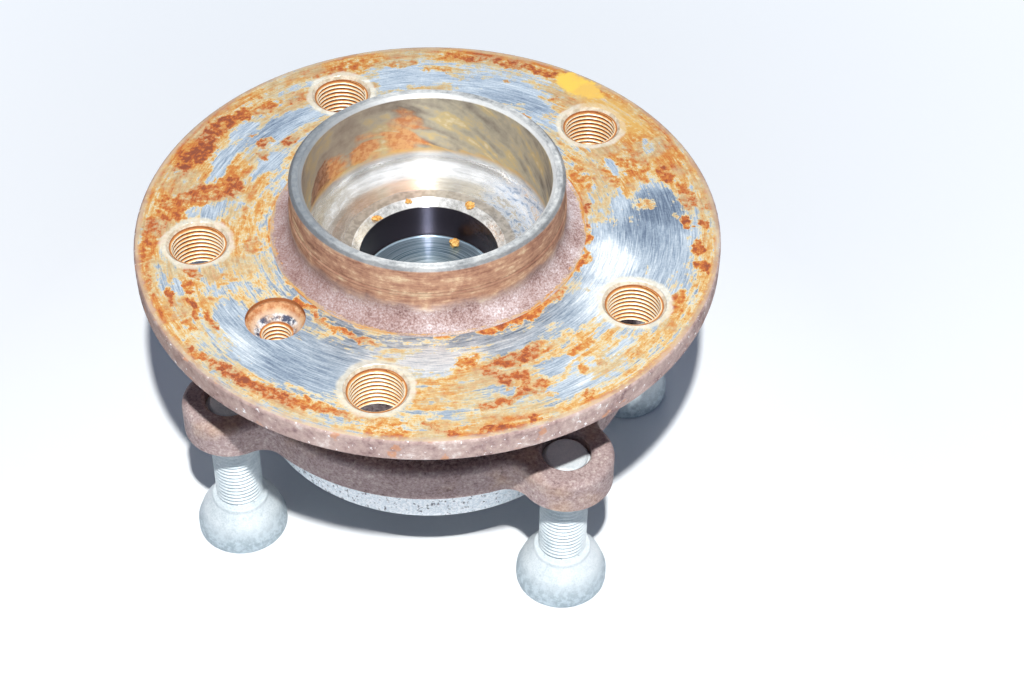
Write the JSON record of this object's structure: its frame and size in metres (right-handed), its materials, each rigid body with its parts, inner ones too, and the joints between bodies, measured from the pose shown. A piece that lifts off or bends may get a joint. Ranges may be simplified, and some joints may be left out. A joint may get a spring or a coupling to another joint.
{
  "type": "wheel hub bearing",
  "caption": "Wheel hub bearing: a flanged hub with a pilot collar and blind bore turns on two rows of balls in an eared outer ring that bolts to a knuckle.",
  "frame": {"origin": "centre of the wheel flange's outboard face, on the spin axis", "axes": "+Z along the spin axis, outboard, towards the wheel; +X and +Y lie in the wheel face"},
  "size_m": [0.1428, 0.1428, 0.0954],
  "materials": {
    "hub_steel": "turned forging with patches of surface rust",
    "ring_steel": "forged and evenly rusted, with one bright turned spigot",
    "bearing_steel": "ground",
    "ball_steel": "polished",
    "cage_plastic": "moulded, glass filled",
    "seal_steel": "pressed strip",
    "seal_rubber": "moulded",
    "encoder_rubber": "smooth, ferrite filled",
    "zinc_flake": "pale silver zinc flake coating"
  },
  "bodies": {
    "knuckle_side": {"outer_ring": "ring_steel", "outboard_seal_core": "seal_steel", "outboard_seal_lip": "seal_rubber", "inboard_seal_case": "seal_steel", "inboard_seal_lip": "seal_rubber"},
    "hub": {"hub_flange": "hub_steel", "hub_spindle": "hub_steel", "inner_ring": "bearing_steel", "inboard_flinger": "seal_steel", "encoder_ring": "encoder_rubber"},
    "outboard_row": {"outboard_cage": "cage_plastic", "outboard_ball_01": "ball_steel", "outboard_ball_02": "ball_steel", "outboard_ball_03": "ball_steel", "outboard_ball_04": "ball_steel", "outboard_ball_05": "ball_steel", "outboard_ball_06": "ball_steel", "outboard_ball_07": "ball_steel", "outboard_ball_08": "ball_steel", "outboard_ball_09": "ball_steel", "outboard_ball_10": "ball_steel", "outboard_ball_11": "ball_steel", "outboard_ball_12": "ball_steel", "outboard_ball_13": "ball_steel", "outboard_ball_14": "ball_steel"},
    "inboard_row": {"inboard_cage": "cage_plastic", "inboard_ball_01": "ball_steel", "inboard_ball_02": "ball_steel", "inboard_ball_03": "ball_steel", "inboard_ball_04": "ball_steel", "inboard_ball_05": "ball_steel", "inboard_ball_06": "ball_steel", "inboard_ball_07": "ball_steel", "inboard_ball_08": "ball_steel", "inboard_ball_09": "ball_steel", "inboard_ball_10": "ball_steel", "inboard_ball_11": "ball_steel", "inboard_ball_12": "ball_steel", "inboard_ball_13": "ball_steel", "inboard_ball_14": "ball_steel"},
    "ear_bolt_1": {"bolt_1": "zinc_flake"},
    "ear_bolt_2": {"bolt_2": "zinc_flake"},
    "ear_bolt_3": {"bolt_3": "zinc_flake"},
    "ear_bolt_4": {"bolt_4": "zinc_flake"}
  },
  "joints": [
    {"name": "hub_spin", "type": "hinge", "parent": "knuckle_side", "child": "hub", "pos_m": [0, 0, 0], "axis": [0, 0, 1], "continuous": true},
    {"name": "outboard_row_spin", "type": "hinge", "parent": "knuckle_side", "child": "outboard_row", "pos_m": [0, 0, 0], "axis": [0, 0, 1], "continuous": true},
    {"name": "inboard_row_spin", "type": "hinge", "parent": "knuckle_side", "child": "inboard_row", "pos_m": [0, 0, 0], "axis": [0, 0, 1], "continuous": true},
    {"name": "bolt_1_travel", "type": "slide", "parent": "knuckle_side", "child": "ear_bolt_1", "axis": [0, 0, 1], "range_m": [-0.0075, 0.017]},
    {"name": "bolt_2_travel", "type": "slide", "parent": "knuckle_side", "child": "ear_bolt_2", "axis": [0, 0, 1], "range_m": [-0.0075, 0.017]},
    {"name": "bolt_3_travel", "type": "slide", "parent": "knuckle_side", "child": "ear_bolt_3", "axis": [0, 0, 1], "range_m": [-0.0075, 0.017]},
    {"name": "bolt_4_travel", "type": "slide", "parent": "knuckle_side", "child": "ear_bolt_4", "axis": [0, 0, 1], "range_m": [-0.0075, 0.017]}
  ],
  "couplings": [
    {"joint": "outboard_row_spin", "follows": "hub_spin", "ratio": 0.42847},
    {"joint": "inboard_row_spin", "follows": "hub_spin", "ratio": 0.42847}
  ]
}
